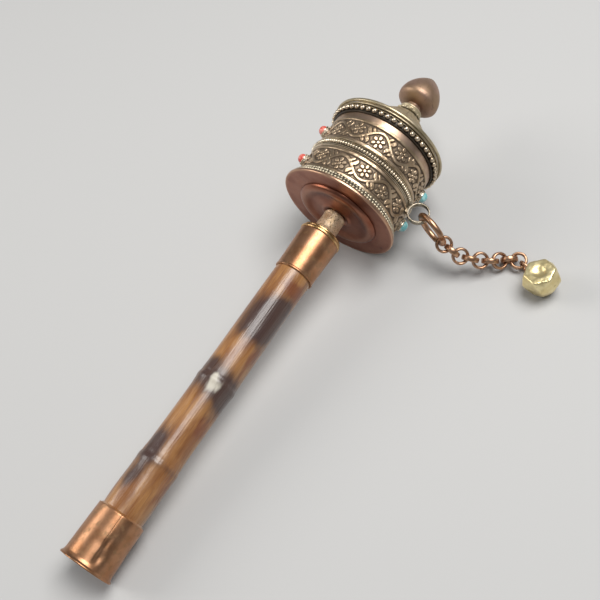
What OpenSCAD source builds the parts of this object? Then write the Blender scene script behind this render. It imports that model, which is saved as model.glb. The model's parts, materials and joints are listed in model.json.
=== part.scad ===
// Hand prayer wheel, lying at rest on its handle end and on the rim of its drum plate.
// Every turned piece is drawn upright on the wheel's own axis, with the handle end at
// height 0, and lay_down() then tips it on to the table. Millimetres, +Z up.

/* [Handle] */
// Length of the whole wheel, from the handle end to the tip of the finial
wheel_len = 225; // [224.5:0.5:232]
// Outer radius of the flared foot of the lower ferrule
foot_r = 10.0; // [9.8:0.1:10.4]
// Height on the axis of the lower ferrule's upper edge
foot_top = 20; // [18:0.5:24]
// Outer radius of the bamboo grip, away from its joints
grip_r = 7.3; // [7.1:0.05:7.5]
// Height on the axis where the upper ferrule starts
ferrule_start = 123.5; // [118:0.5:126]
// Height on the axis where the upper ferrule ends
ferrule_end = 140.9; // [138:0.1:141.5]
// Radius of the axle rod
axle_r = 1.9; // [1.5:0.1:1.9]

/* [Drum] */
// Height on the axis of the bottom plate's lower face
plate_s = 153.9; // [153.5:0.1:154.5]
// Radius of the bottom plate
plate_r = 23.9; // [23.7:0.1:24.4]
// Radius of the raised boss under the plate
boss_r = 16.6; // [12:0.2:18]
// Outer radius of the drum's inner shell
shell_r = 20.9; // [20.7:0.05:21.0]
// Height of each of the two embossed bands
band_h = 10.4; // [10:0.1:10.6]
// Outer radius of the cap, over its rim wire
cap_r = 23.85; // [23.6:0.05:24.2]

/* [Chain] */
// Wire diameter of the large open link
jump_wire = 2.3; // [1.9:0.05:2.4]
// Mean radius of the large open link
jump_r = 6.45; // [6:0.05:6.8]
// Thickness of the small links' flattened wire
link_wire = 1.3; // [1.1:0.05:1.35]
// Width of the small links' flattened wire, along the link's bore
link_w = 1.8; // [1.4:0.05:1.9]
// Mean radius of the small links
link_r = 2.8; // [2.75:0.05:2.9]
// Gap left between the wires of two links
link_gap = 0.12; // [0.1:0.01:0.2]

/* [Hidden] */
$fn = 72;

// Radial clearance of the drum's bushes on the axle, and of fixed pieces on each other
run_gap = 0.05;
snug = 0.02;

// The wheel rests on two rims, so its axis rises towards the drum
plate_h = 1.3;
plate_top = plate_s + plate_h;
tilt = atan((plate_r - foot_r) / plate_s);
foot_height = foot_r * cos(tilt);
// Puts the middle of the whole object's footprint at the origin
place_x = -111.6;
place_y = 28.84;

// Stack of pieces between the upper ferrule and the drum
cap_disc_h = 1.3;
top_disc_h = 0.9;
base_washer_h = 0.8;
cap_disc_s = ferrule_end;
top_disc_s = cap_disc_s + cap_disc_h;
base_washer_s = top_disc_s + top_disc_h;
neck_s = base_washer_s + base_washer_h;
boss_h = 1.5;
boss_s = plate_s - boss_h;
thrust_h = 0.7;
thrust_s = boss_s - thrust_h - 0.1;

// Grip and its plugs
low_joint = 40;
high_joint = 74;
grip_bore_r = 3.6;
axle_foot_s = 96;
axle_top_s = 214;
top_plug_s = 92;
foot_plug_len = 30;

// Lower ferrule
foot_ferrule_r = 9.2;
foot_ferrule_top_r = 8.9;
sheet = 0.5;
foot_cap_s = 0.6;
foot_cap_h = 0.8;

// Upper ferrule
ferrule_foot_r = 7.6;
ferrule_head_r = 8.1;

// Drum outside, from the plate up
border_top = plate_top + 2.8;
border_foot_r = plate_r - 0.6;
border_head_r = plate_r - 1.6;
band_sheet = 0.8;
band_r = shell_r + band_sheet;
lower_band_top = border_top + band_h;
belt_half = 2.1;
belt_wire_r = 0.6;
belt_bead_r = 0.85;
belt_s = lower_band_top + belt_half;
upper_band_s = belt_s + belt_half;
upper_band_top = upper_band_s + band_h;
seat_band_r = shell_r + 0.6;
seat_band_top = upper_band_top + 2.5;
skirt_s = seat_band_top + 0.1;
skirt_h = 4.0;
skirt_top = skirt_s + skirt_h;
skirt_r = cap_r - 0.95;
cap_bead_r = 0.85;
cap_bead_s = skirt_s + 1.5;
channel_r = skirt_r - cap_bead_r;
rim_wire_r = 0.6;
cone_edge_r = cap_r - 1.4;
cap_rise = 15.6;
cap_sheet = 0.6;
collar_r = 4.9;
collar_h = 2.6;
collar_top = skirt_top + cap_rise + collar_h;

// Drum inside
bush_r = 3.0;
core_r = 3.6;
core_s = plate_top;
core_top = skirt_top + 2;
scroll_r = 17.5;
scroll_s = plate_top + 1.8;
scroll_top = skirt_top - 2.6;
shell_wall = 0.6;
shell_top = skirt_top - 0.2;

// Finial
finial_s = collar_top + 0.15;
bud_s = wheel_len - 12;
bud_r = 8.6;
bud_depth = 3.2;
finial_neck_r = 2.9;

// Stones: each is set in a beaded cup on the side of a band
coral_angle = 122;
turquoise_angle = -66;
// The turquoises sit a little higher on their bands than the corals
turquoise_lift = 1.2;
upper_stone_s = upper_band_s + band_h / 2;
lower_stone_s = border_top + band_h / 2;
coral_r = 1.95;
turquoise_r = 2.25;
cup_rim = 0.45;
cup_h = 1.1;

// Chain: the eyelet is link 0, and each bend is the angle of a link to the one before
eyelet_angle = -84;
eyelet_s = lower_band_top;
eyelet_r = 4.3;
eyelet_wall = 0.6;
eyelet_h = 2.0;
eyelet_turn = -17;
eyelet_mean_r = eyelet_r - eyelet_wall / 2;
eyelet_reach = band_r + eyelet_r + 0.5;
bends = [35, 15, 0, -24, 0, 10, -10, -9, -38, -52, 19];
// Some links are also rolled a little about the chain's own line
rolls = [8, 8, -2, 3, -8, 3, -8, -3, -9, -9, -9];
last_link = 10;
jump_cut = 1.6;
weight_eye_r = 2.3;
weight_eye_wire = 1.2;

// ---------- Shared shapes ----------

// Tips an upright piece on to the table
module lay_down() {
    translate([place_x, place_y, foot_height]) rotate([0, 90 - tilt, 0]) children();
}

// A straight tube or washer on the axis
module tube(from_s, to_s, outer_r, inner_r) {
    translate([0, 0, from_s]) difference() {
        cylinder(h = to_s - from_s, r = outer_r);
        translate([0, 0, -1]) cylinder(h = to_s - from_s + 2, r = inner_r);
    }
}

// A washer with a half-round edge
module round_edge_disc(from_s, h, outer_r, inner_r) {
    rotate_extrude() translate([0, from_s]) union() {
        translate([inner_r, 0]) square([outer_r - h / 2 - inner_r, h]);
        translate([outer_r - h / 2, h / 2]) circle(r = h / 2);
    }
}

// A round wire bent into a ring on the axis
module wire_ring(s, mean_r, wire_r) {
    translate([0, 0, s]) rotate_extrude() translate([mean_r, 0]) circle(r = wire_r);
}

// ---------- Handle ----------

// The cane swells a little at its two joints and towards its foot
function joint_swell(s, at) = 0.28 * exp(-pow((s - at) / 3.2, 2));
function grip_outline(s) = grip_r + joint_swell(s, low_joint) + joint_swell(s, high_joint)
    + 0.6 * exp(-pow((s - 27) / 13, 2)) - 0.15 * s / ferrule_start;

module bamboo_grip() {
    start = foot_cap_s + foot_cap_h + snug;
    stop = cap_disc_s - 0.5;
    step = 1.5;
    socket_r = foot_ferrule_top_r - sheet - snug;
    sleeve_r = ferrule_foot_r - sheet - snug;
    open = [for (s = [foot_top + 0.5 : step : ferrule_start - 0.5]) [grip_outline(s), s]];
    outline = concat(
        [[grip_bore_r, start], [socket_r, start], [socket_r, foot_top + 0.2]],
        open,
        [[sleeve_r, ferrule_start - 0.2], [sleeve_r, stop], [grip_bore_r, stop]]
    );
    color("peru") rotate_extrude() polygon(outline);
}

module foot_plug() {
    start = foot_cap_s + foot_cap_h + snug;
    color("burlywood") translate([0, 0, start]) cylinder(h = foot_plug_len, r = grip_bore_r - snug);
}

module top_plug() {
    bore = axle_r + snug;
    outer = grip_bore_r - snug;
    color("burlywood") rotate_extrude() polygon([
        [0, top_plug_s], [outer, top_plug_s], [outer, cap_disc_s - 0.5],
        [bore, cap_disc_s - 0.5], [bore, axle_foot_s - snug], [0, axle_foot_s - snug]
    ]);
}

// Sheet-copper ferrule with a flared foot and a lapped seam along one side
module foot_ferrule() {
    seam_angle = -145;
    seam_w = 1.6;
    seam_h = 0.12;
    flare_h = 1.2;
    foot = foot_ferrule_r;
    head = foot_ferrule_top_r;
    color("peru") rotate_extrude() polygon([
        [foot - sheet, 0], [foot_r - 0.2, 0], [foot_r, 0.15], [foot_r, 0.45],
        [foot + 0.3, flare_h], [foot, flare_h + 0.9], [head, foot_top],
        [head - sheet, foot_top], [foot - sheet, flare_h]
    ]);
    color("peru") rotate([0, 0, seam_angle]) rotate([90, 0, 0])
        linear_extrude(height = seam_w, center = true) polygon([
            [foot - 0.3, flare_h + 1.2], [foot + seam_h, flare_h + 1.2],
            [head + seam_h, foot_top - 0.4], [head - 0.3, foot_top - 0.4]
        ]);
}

module foot_cap() {
    color("sienna") translate([0, 0, foot_cap_s])
        cylinder(h = foot_cap_h, r = foot_ferrule_r - sheet - snug);
}

// Sheet-copper ferrule that widens upwards, with a folded hem at its lower edge
module upper_ferrule() {
    hem_h = 0.7;
    foot = ferrule_foot_r;
    head = ferrule_head_r;
    color("chocolate") rotate_extrude() polygon([
        [foot - sheet, ferrule_start], [foot + 0.2, ferrule_start],
        [foot + 0.2, ferrule_start + hem_h], [foot + 0.03, ferrule_start + hem_h + 0.1],
        [head, ferrule_end - snug], [head - sheet, ferrule_end - snug]
    ]);
}

module ferrule_cap_disc() {
    color("goldenrod") round_edge_disc(cap_disc_s, cap_disc_h, 8.45, axle_r + snug);
}

module ferrule_top_disc() {
    color("darkgoldenrod") round_edge_disc(top_disc_s, top_disc_h, 7.9, axle_r + snug);
}

module neck_base_washer() {
    color("tan") round_edge_disc(base_washer_s, base_washer_h, 6.4, axle_r + snug);
}

// Short spacer with a waist, which carries the drum clear of the ferrule
module neck_collar() {
    color("wheat") rotate_extrude() polygon([
        [axle_r + snug, neck_s], [5.0, neck_s], [4.9, neck_s + 0.6], [4.6, neck_s + 1.6],
        [4.45, neck_s + 3.5], [4.35, thrust_s - 1.2], [4.5, thrust_s], [axle_r + snug, thrust_s]
    ]);
}

module thrust_washer() {
    color("khaki") tube(thrust_s, thrust_s + thrust_h, 4.1, axle_r + snug);
}

module axle_rod() {
    color("dimgray") translate([0, 0, axle_foot_s])
        cylinder(h = axle_top_s - axle_foot_s, r = axle_r);
}

// Onion-shaped bud on a short waisted neck, fixed on the end of the axle
function bud_lower(t) = [finial_neck_r + (bud_r - finial_neck_r) * sin(t), bud_s - bud_depth * cos(t)];
function bud_upper(u) = [bud_r * (1 - pow(u, 2)), bud_s + (wheel_len - bud_s) * u];

module finial() {
    base = [
        [axle_r + snug, finial_s], [3.9, finial_s], [4.1, finial_s + 0.35], [3.8, finial_s + 0.7],
        [3.1, finial_s + 0.95], [finial_neck_r, finial_s + 1.3]
    ];
    lower = [for (t = [0 : 10 : 80]) bud_lower(t)];
    upper = [for (u = [0 : 0.08 : 0.96]) bud_upper(u)];
    inside = [[0, wheel_len], [0, axle_top_s + snug], [axle_r + snug, axle_top_s + snug]];
    color("darkkhaki") rotate_extrude() polygon(concat(base, lower, upper, inside));
}

// ---------- Drum ----------

module bottom_plate() {
    color("sienna") round_edge_disc(plate_s, plate_h, plate_r, bush_r + snug);
}

// Shallow raised step soldered under the plate
module plate_boss() {
    color("chocolate") rotate_extrude() polygon([
        [bush_r + snug, boss_s + 0.5], [boss_r - 3.2, boss_s + 0.35], [boss_r - 2.2, boss_s],
        [boss_r - 0.7, boss_s], [boss_r, boss_s + 0.7], [boss_r, plate_s - snug],
        [bush_r + snug, plate_s - snug]
    ]);
}

module lower_bush() {
    color("gold") tube(boss_s, core_s + 6, bush_r, axle_r + run_gap);
}

module upper_bush() {
    color("gold") tube(core_top - 8, collar_top, bush_r, axle_r + run_gap);
}

module core_tube() {
    color("silver") tube(core_s + snug, core_top, core_r, bush_r + snug);
}

module prayer_scroll() {
    color("antiquewhite") tube(scroll_s, scroll_top, scroll_r, core_r + snug);
}

module drum_shell() {
    color("sienna") tube(plate_top + snug, shell_top - 0.6, shell_r, shell_r - shell_wall);
}

// Sloping ring of granulation between the plate and the lower band
module bead_border() {
    inner_r = shell_r + snug;
    color("darkseagreen") rotate_extrude() polygon([
        [inner_r, plate_top + snug], [border_foot_r, plate_top + snug],
        [border_foot_r, plate_top + 0.9], [border_head_r, border_top], [inner_r, border_top]
    ]);
}

module lower_band() {
    color("tan") tube(border_top + snug, lower_band_top, band_r, shell_r + snug);
}

module upper_band() {
    color("tan") tube(upper_band_s, upper_band_top, band_r, shell_r + snug);
}

module lower_belt_wire() {
    s = lower_band_top + belt_wire_r + snug;
    color("lightgray") wire_ring(s, shell_r + snug + belt_wire_r, belt_wire_r);
}

module upper_belt_wire() {
    s = upper_band_s - belt_wire_r - snug;
    color("lightgray") wire_ring(s, shell_r + snug + belt_wire_r, belt_wire_r);
}

module belt_beads() {
    color("silver") wire_ring(belt_s, shell_r + snug + belt_bead_r, belt_bead_r);
}

module cap_seat_band() {
    color("rosybrown") tube(upper_band_top + snug, seat_band_top, seat_band_r, shell_r + snug);
}

// Overhanging side of the cap, with a channel for its row of beads
module cap_skirt() {
    low = cap_bead_s - cap_bead_r - snug;
    high = cap_bead_s + cap_bead_r + snug;
    color("saddlebrown") rotate_extrude() polygon([
        [shell_r + snug, skirt_s], [skirt_r, skirt_s], [skirt_r, low], [channel_r, low],
        [channel_r, high], [skirt_r, high], [skirt_r, skirt_top], [shell_r + snug, skirt_top]
    ]);
}

module cap_beads() {
    color("tan") wire_ring(cap_bead_s, channel_r + snug + cap_bead_r, cap_bead_r);
}

module cap_rim_wire() {
    s = skirt_top + rim_wire_r + snug;
    color("darkkhaki") wire_ring(s, cap_r - rim_wire_r, rim_wire_r);
}

// Conical lid that rises from the rim to the collar, a little steeper at its top
function lid_s(r) = let (u = (cone_edge_r - r) / (cone_edge_r - collar_r))
    skirt_top + snug + (cap_rise - cap_sheet) * (0.92 * u + 0.08 * pow(u, 3));

module cap_cone() {
    steps = 14;
    radii = [for (i = [0 : steps]) cone_edge_r - (cone_edge_r - collar_r) * i / steps];
    under = [for (r = radii) [r, lid_s(r)]];
    over = [for (i = [steps : -1 : 0]) [radii[i], lid_s(radii[i]) + cap_sheet]];
    throat = [[bush_r + snug, lid_s(collar_r)], [bush_r + snug, lid_s(collar_r) + cap_sheet]];
    color("darkolivegreen") rotate_extrude() polygon(concat(under, throat, over));
}

module cap_collar() {
    foot = skirt_top + cap_rise + 2 * snug;
    color("darkkhaki") rotate_extrude() polygon([
        [bush_r + snug, foot], [5.4, foot], [5.5, foot + 0.6], [4.6, foot + 1.1],
        [4.3, collar_top - 0.7], [4.7, collar_top - 0.4], [4.7, collar_top], [bush_r + snug, collar_top]
    ]);
}

// ---------- Stones ----------

// Carries a piece from the origin, its face along +Z, to the side of the drum
module on_drum_side(angle, s, reach) {
    rotate([0, 0, angle]) translate([reach, 0, s]) rotate([0, 90, 0]) children();
}

// The cup's foot is hollowed to sit on the round band
module stone_cup(angle, s, stone_r) {
    rim = stone_r + cup_rim;
    color("silver") difference() {
        on_drum_side(angle, s, band_r - 0.6) difference() {
            cylinder(h = cup_h + 0.6, r = rim);
            translate([0, 0, 0.9]) cylinder(h = cup_h, r = stone_r + snug);
        }
        cylinder(h = wheel_len, r = band_r + snug, $fn = 360);
    }
}

// A low cabochon: a drum-shaped foot and a domed face
module stone(angle, s, stone_r, shade) {
    foot_h = 0.7;
    dome = stone_r * 0.95;
    sphere_r = (pow(stone_r, 2) + pow(dome, 2)) / (2 * dome);
    color(shade) on_drum_side(angle, s, band_r + 0.32) intersection() {
        cylinder(h = foot_h + dome + 1, r = stone_r);
        union() {
            cylinder(h = foot_h, r = stone_r);
            translate([0, 0, foot_h + dome - sphere_r]) sphere(r = sphere_r);
        }
    }
}

// ---------- Chain ----------

function mean_r(k) = k == 0 ? eyelet_mean_r : k == 1 ? jump_r : k > last_link ? weight_eye_r : link_r;
// The eyelet is a flat strip, so its half-thickness counts to its corner
function half_wire(k) = k == 0 ? norm([eyelet_wall / 2, eyelet_h / 2])
    : k == 1 ? jump_wire / 2 : k > last_link ? weight_eye_wire / 2 : link_wire / 2;
// Half of the wire that a link turns round: the small links' flattened wire turns on its edge
function half_turn(k) = k > 1 && k <= last_link ? link_w / 2 : half_wire(k);
function reach(k) = half_turn(k - 1) + half_wire(k) + link_gap;
// A sharp bend is all in the hinge, and a slight one is shared with the link's own slack
function early_bend(k) = abs(bends[k - 1]) > 18 ? bends[k - 1] : bends[k - 1] / 2;

// Eyelet frame: X away from the drum, Y along the drum's axis, Z along the eyelet's bore
module at_eyelet() {
    rotate([0, 0, eyelet_angle]) translate([eyelet_reach, 0, eyelet_s]) rotate([90, 0, 0]) children();
}

// Link frame: X along the chain, the ring in the XY plane; each link is turned a quarter
// round from the one before, and swings about that one's wire
module at_link(k) {
    if (k == 0) at_eyelet() rotate([0, 0, eyelet_turn]) children();
    else at_link(k - 1)
        translate([mean_r(k - 1), 0, 0]) rotate([0, early_bend(k), 0])
        translate([-reach(k), 0, 0]) rotate([0, bends[k - 1] - early_bend(k), 0])
        translate([mean_r(k), 0, 0]) rotate([90 + rolls[k - 1], 0, 0]) children();
}

// Small saddle that solders the eyelet to the lower band
module eyelet_foot() {
    foot_w = 1.8;
    color("gray") difference() {
        rotate([0, 0, eyelet_angle])
            translate([band_r - 0.5, -eyelet_h / 2, lower_band_top - foot_w - 0.1])
            cube([2, eyelet_h, foot_w]);
        cylinder(h = wheel_len, r = band_r + snug, $fn = 360);
        at_eyelet() cylinder(h = eyelet_h * 2, r = eyelet_r + snug, center = true, $fn = 360);
    }
}

module chain_eyelet() {
    color("gray") at_eyelet() difference() {
        cylinder(h = eyelet_h, r = eyelet_r, center = true);
        cylinder(h = eyelet_h + 1, r = eyelet_r - eyelet_wall, center = true);
    }
}

// The large link is open: its two cut ends stand apart on one side
module open_link() {
    cut_angle = 60;
    color("sienna") at_link(1) difference() {
        rotate_extrude() translate([jump_r, 0]) circle(r = jump_wire / 2);
        rotate([0, 0, cut_angle]) translate([0, -jump_cut / 2, -jump_wire])
            cube([jump_r * 2, jump_cut, jump_wire * 2]);
    }
}

// Small links are of flattened wire with round edges
module small_link(k) {
    flat = (link_w - link_wire) / 2;
    color("peru") at_link(k) rotate_extrude() translate([link_r, 0]) union() {
        translate([0, flat]) circle(r = link_wire / 2);
        translate([0, -flat]) circle(r = link_wire / 2);
        translate([-link_wire / 2, -flat]) square([link_wire, 2 * flat]);
    }
}

module weight_eye() {
    color("peru") at_link(last_link + 1) union() {
        rotate_extrude() translate([weight_eye_r, 0]) circle(r = weight_eye_wire / 2);
        translate([weight_eye_r, 0, 0]) rotate([0, 90, 0])
            cylinder(h = 2.4, r = weight_eye_wire / 2);
    }
}

// Cast nugget: a five-sided lump with a dimple in its upper face
module chain_weight() {
    sides = 5;
    foot_w = 4.6;
    waist_w = 7.5;
    head_w = 6.0;
    lump_h = 11.6;
    waist_h = 5.6;
    eye_h = 3.45;
    color("palegoldenrod") at_link(last_link + 1) rotate([90, 0, 0])
        translate([weight_eye_r + 7.4, 0, -eye_h]) difference() {
            hull() {
                cylinder(h = 0.2, r = foot_w, $fn = 9);
                translate([0, 0, waist_h]) rotate([0, 0, 36]) cylinder(h = 1.2, r = waist_w, $fn = sides);
                translate([0.5, 0.6, waist_h - 1]) cylinder(h = 2, r = waist_w - 1.2, $fn = 8);
                translate([0.4, -0.3, lump_h - 0.3]) cylinder(h = 0.3, r = head_w, $fn = 6);
            }
            translate([0.4, -0.3, lump_h + 3.2]) sphere(r = 4.1);
            translate([-9, 0, eye_h]) rotate([0, 90, 0]) cylinder(h = 5, r = weight_eye_wire / 2 + snug);
        }
}

// ---------- Drawing ----------

lay_down() bamboo_grip();
lay_down() foot_plug();
lay_down() top_plug();
lay_down() foot_ferrule();
lay_down() foot_cap();
lay_down() upper_ferrule();
lay_down() ferrule_cap_disc();
lay_down() ferrule_top_disc();
lay_down() neck_base_washer();
lay_down() neck_collar();
lay_down() thrust_washer();
lay_down() axle_rod();
lay_down() finial();

lay_down() bottom_plate();
lay_down() plate_boss();
lay_down() lower_bush();
lay_down() upper_bush();
lay_down() core_tube();
lay_down() prayer_scroll();
lay_down() drum_shell();
lay_down() bead_border();
lay_down() lower_band();
lay_down() lower_belt_wire();
lay_down() belt_beads();
lay_down() upper_belt_wire();
lay_down() upper_band();
lay_down() cap_seat_band();
lay_down() cap_skirt();
lay_down() cap_beads();
lay_down() cap_rim_wire();
lay_down() cap_cone();
lay_down() cap_collar();

lay_down() stone(coral_angle, upper_stone_s, coral_r, "salmon");  // upper_coral
lay_down() stone_cup(coral_angle, upper_stone_s, coral_r);  // upper_coral_cup
lay_down() stone(coral_angle, lower_stone_s, coral_r, "salmon");  // lower_coral
lay_down() stone_cup(coral_angle, lower_stone_s, coral_r);  // lower_coral_cup
lay_down() stone(turquoise_angle, upper_stone_s + turquoise_lift, turquoise_r, "turquoise");  // upper_turquoise
lay_down() stone_cup(turquoise_angle, upper_stone_s + turquoise_lift, turquoise_r);  // upper_turquoise_cup
lay_down() stone(turquoise_angle, lower_stone_s + turquoise_lift, turquoise_r, "turquoise");  // lower_turquoise
lay_down() stone_cup(turquoise_angle, lower_stone_s + turquoise_lift, turquoise_r);  // lower_turquoise_cup

lay_down() eyelet_foot();
lay_down() chain_eyelet();
lay_down() open_link();  // link_1
for (k = [2 : last_link]) {
    lay_down() small_link(k);
}
lay_down() weight_eye();
lay_down() chain_weight();
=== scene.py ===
import json
import math
import random

import bmesh
import bpy
import numpy as np
from mathutils import Matrix, Vector, noise


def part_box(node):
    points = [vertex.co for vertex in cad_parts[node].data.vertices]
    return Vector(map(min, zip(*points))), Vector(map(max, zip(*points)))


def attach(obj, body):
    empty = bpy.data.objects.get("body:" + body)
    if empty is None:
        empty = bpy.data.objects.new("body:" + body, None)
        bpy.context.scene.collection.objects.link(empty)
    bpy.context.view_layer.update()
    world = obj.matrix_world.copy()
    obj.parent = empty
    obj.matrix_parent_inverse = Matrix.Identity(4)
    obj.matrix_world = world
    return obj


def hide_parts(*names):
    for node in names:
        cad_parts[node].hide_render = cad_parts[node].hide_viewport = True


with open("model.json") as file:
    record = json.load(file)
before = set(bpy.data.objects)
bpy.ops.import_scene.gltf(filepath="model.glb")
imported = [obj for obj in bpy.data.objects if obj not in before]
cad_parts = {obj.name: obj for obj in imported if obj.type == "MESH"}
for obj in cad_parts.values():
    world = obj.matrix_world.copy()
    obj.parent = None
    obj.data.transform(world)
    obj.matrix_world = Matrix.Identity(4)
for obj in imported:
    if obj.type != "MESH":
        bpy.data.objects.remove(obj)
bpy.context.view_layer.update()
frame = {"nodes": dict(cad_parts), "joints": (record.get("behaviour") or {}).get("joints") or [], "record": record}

MM = 0.001
TAU = 2 * math.pi

# ---------- Frames: all lengths below are millimetres in the frame of the piece ----------

JOINTS = {j["name"]: j for j in frame["joints"]}
AXIS = Vector(JOINTS["drum_spin"]["axis"]).normalized()
ON_AXIS = Vector(JOINTS["drum_spin"]["pos_m"])
FOOT_END = Vector(frame["record"]["mounts"][0]["pos_m"])
WHEEL_FOOT = ON_AXIS + AXIS * AXIS.dot(FOOT_END - ON_AXIS)


def placed(origin, x, y):
    """Matrix of a frame with that origin and those two directions."""
    return Matrix.Translation(origin) @ Matrix((x, y, x.cross(y))).transposed().to_4x4()


# The wheel's own frame: z runs up the axis from the handle's end, and x points at the floor.
SIDE = Vector((0, 1, 0))
WHEEL = placed(WHEEL_FOOT, SIDE.cross(AXIS), SIDE)


def cad_points(node):
    """A CAD node's vertices in the CAD frame, in metres."""
    vertices = frame["nodes"][node].data.vertices
    flat = np.zeros(len(vertices) * 3)
    vertices.foreach_get("co", flat)
    return flat.reshape(-1, 3)


def local_points(node):
    """A CAD node's vertices in the wheel's frame, in millimetres."""
    turn = np.array(WHEEL.inverted())
    return (cad_points(node) @ turn[:3, :3].T + turn[:3, 3]) / MM


def span(node):
    """Lowest and highest height on the axis of a CAD node, then its smallest and largest radius."""
    p = local_points(node)
    r = np.hypot(p[:, 0], p[:, 1])
    return p[:, 2].min(), p[:, 2].max(), r.min(), r.max()


def outline(node, over):
    """Outer radius of a turned CAD node against height, leaving out radii under a limit."""
    p = local_points(node)
    r = np.hypot(p[:, 0], p[:, 1])
    keep = r > over
    s, r = p[keep, 2].round(3), r[keep]
    heights = np.unique(s)
    return heights, np.array([r[s == h].max() for h in heights])


def drum_side(node, reach):
    """Frame on the side of the drum under a stone: z points outwards, x down the axis."""
    p = local_points(node)
    middle = (p.min(0) + p.max(0)) / 2
    angle = math.atan2(middle[1], middle[0])
    outwards = WHEEL.to_3x3() @ Vector((math.cos(angle), math.sin(angle), 0))
    spot = WHEEL @ (Vector((math.cos(angle) * reach, math.sin(angle) * reach, middle[2])) * MM)
    return placed(spot, -AXIS, outwards.cross(-AXIS))


# ---------- Shapes ----------


def grid_faces(rows, cols, wrap_rows, wrap_cols=True):
    """Faces between the points of a grid, which may close on itself either way."""
    i = np.arange(rows if wrap_rows else rows - 1)
    j = np.arange(cols if wrap_cols else cols - 1)
    row, col = np.meshgrid(i, j, indexing="ij")
    row2, col2 = (row + 1) % rows, (col + 1) % cols
    corners = (row * cols + col, row * cols + col2, row2 * cols + col2, row2 * cols + col)
    return np.stack(corners, -1).reshape(-1, 4).tolist()


def rounded(points, radius=0.12, steps=3, closed=True):
    """A polygon of (radius, height) with each corner rounded off."""
    pts = [np.array(p, float) for p in points]
    out = []
    for i, b in enumerate(pts):
        if not closed and i in (0, len(pts) - 1):
            out.append(b)
            continue
        a, c = pts[i - 1], pts[(i + 1) % len(pts)]
        ab, cb = np.linalg.norm(a - b), np.linalg.norm(c - b)
        d = min(radius, ab * 0.4, cb * 0.4)
        p, q = b + (a - b) / ab * d, b + (c - b) / cb * d
        for t in np.linspace(0, 1, steps + 1):
            out.append((1 - t) ** 2 * p + 2 * t * (1 - t) * b + t * t * q)
    return out


def dense(points, step, closed=True):
    """The same line with no stretch longer than a step."""
    out = []
    n = len(points)
    for i in range(n if closed else n - 1):
        a, b = np.array(points[i], float), np.array(points[(i + 1) % n], float)
        parts = max(1, math.ceil(np.linalg.norm(b - a) / step))
        out += [a + (b - a) * k / parts for k in range(parts)]
    if not closed:
        out.append(np.array(points[-1], float))
    return out


def bend(points, step):
    """Smooth line through the points."""
    p = [np.array(q, float) for q in points]
    p = [2 * p[0] - p[1], *p, 2 * p[-1] - p[-2]]
    out = []
    for i in range(1, len(p) - 2):
        parts = max(1, math.ceil(np.linalg.norm(p[i + 1] - p[i]) / step))
        for k in range(parts):
            t = k / parts
            out.append(
                0.5
                * (
                    2 * p[i]
                    + (p[i + 1] - p[i - 1]) * t
                    + (2 * p[i - 1] - 5 * p[i] + 4 * p[i + 1] - p[i + 2]) * t * t
                    + (3 * p[i] - 3 * p[i + 1] + p[i + 2] - p[i - 1]) * t**3
                )
            )
    out.append(p[-2])
    return out


def lathe(profile, turns=160, closed=True, shape=None):
    """A turned piece. A shape function may change the radius and height grids and adds paint to them."""
    line = np.array(profile, float)
    a = np.linspace(0, TAU, turns, endpoint=False)
    r, angle = np.meshgrid(line[:, 0], a, indexing="ij")
    s = np.repeat(line[:, 1][:, None], turns, 1)
    paint = {}
    if shape:
        r, s, paint = shape(r, s, angle)
    verts = np.stack([r * np.cos(angle), r * np.sin(angle), s], -1).reshape(-1, 3)
    return verts, grid_faces(len(line), turns, closed), {k: v.ravel() for k, v in paint.items()}


def ball(sides=10, rings=7):
    """Unit ball: poles on z."""
    tilt = np.linspace(0, math.pi, rings + 2)[1:-1]
    turn = np.linspace(0, TAU, sides, endpoint=False)
    body = [
        [math.sin(t) * math.cos(u), math.sin(t) * math.sin(u), math.cos(t)] for t in tilt for u in turn
    ]
    verts = np.array([[0, 0, 1], *body, [0, 0, -1]])
    last = len(verts) - 1
    faces = [[1 + i, 1 + (i + 1) % sides, 0] for i in range(sides)]
    faces += [[1 + c for c in (f[3], f[2], f[1], f[0])] for f in grid_faces(rings, sides, False)]
    low = 1 + (rings - 1) * sides
    faces += [[low + (i + 1) % sides, low + i, last] for i in range(sides)]
    return verts, faces


def joined(*parts):
    """One mesh out of several (verts, faces, paint) parts."""
    verts, faces, start = [], [], 0
    names = {k for p in parts for k in p[2]}
    paint = {k: [] for k in names}
    for v, f, c in parts:
        verts.append(v)
        faces += [[i + start for i in face] for face in f]
        for k in names:
            paint[k].append(c.get(k, np.zeros(len(v))))
        start += len(v)
    return np.concatenate(verts), faces, {k: np.concatenate(v) for k, v in paint.items()}


def bead_row(count, reach, height, size, seed, jitter, detail, first=0.0):
    """Beads round the axis: size is the half size radially, along the row and along the axis."""
    draw = random.Random(seed)
    unit, faces = ball(*detail)
    parts = []
    for i in range(count):
        a = first + TAU * (i + draw.uniform(-jitter, jitter)) / count
        k = 1 + draw.uniform(-1, 1) * jitter
        x = reach + unit[:, 0] * size[0] * k
        y = unit[:, 1] * size[1] * k
        z = height + unit[:, 2] * size[2] * k + draw.uniform(-1, 1) * jitter * size[2]
        turned = np.stack([x * math.cos(a) - y * math.sin(a), x * math.sin(a) + y * math.cos(a), z], -1)
        # Painted shade: the beads' inner sides, towards what they sit on, get a low relief tone and turn dark
        lift = np.clip((unit[:, 0] + 0.45) / 0.6, 0, 1)
        parts.append((turned, faces, {"relief": lift}))
    return joined(*parts)


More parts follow.
